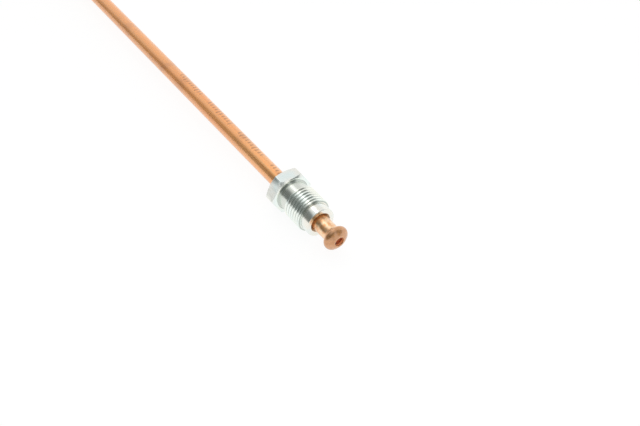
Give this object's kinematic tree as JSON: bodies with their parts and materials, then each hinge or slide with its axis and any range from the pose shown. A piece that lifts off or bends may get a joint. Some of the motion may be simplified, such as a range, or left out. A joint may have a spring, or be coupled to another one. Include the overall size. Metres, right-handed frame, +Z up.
{
  "type": "brake line",
  "caption": "Straight rigid brake pipe with a bubble flare at each end and captive male tube nuts that slide along the tube.",
  "frame": {"origin": "on the tube's axis, midway between the noses of the two flares", "axes": "+X along the tube towards the pictured end, +Z up from the flats of the nuts that the pipe lies on"},
  "size_m": [0.2, 0.0128, 0.011],
  "materials": {
    "copper_tube": "drawn copper, bright",
    "front_nut_zinc": "bright zinc plating on turned steel",
    "rear_nut_zinc": "bright zinc plating on turned steel"
  },
  "bodies": {
    "pipe": {"brake_tube": "copper_tube"},
    "front_nut": {"front_tube_nut": "front_nut_zinc"},
    "rear_nut": {"rear_tube_nut": "rear_nut_zinc"}
  },
  "joints": [
    {"name": "front_nut_slide", "type": "slide", "parent": "pipe", "child": "front_nut", "axis": [1, 0, 0], "range_m": [-0.0741, 0.0055]},
    {"name": "rear_nut_slide", "type": "slide", "parent": "pipe", "child": "rear_nut", "axis": [-1, 0, 0], "range_m": [-0.0741, 0.0055]}
  ]
}
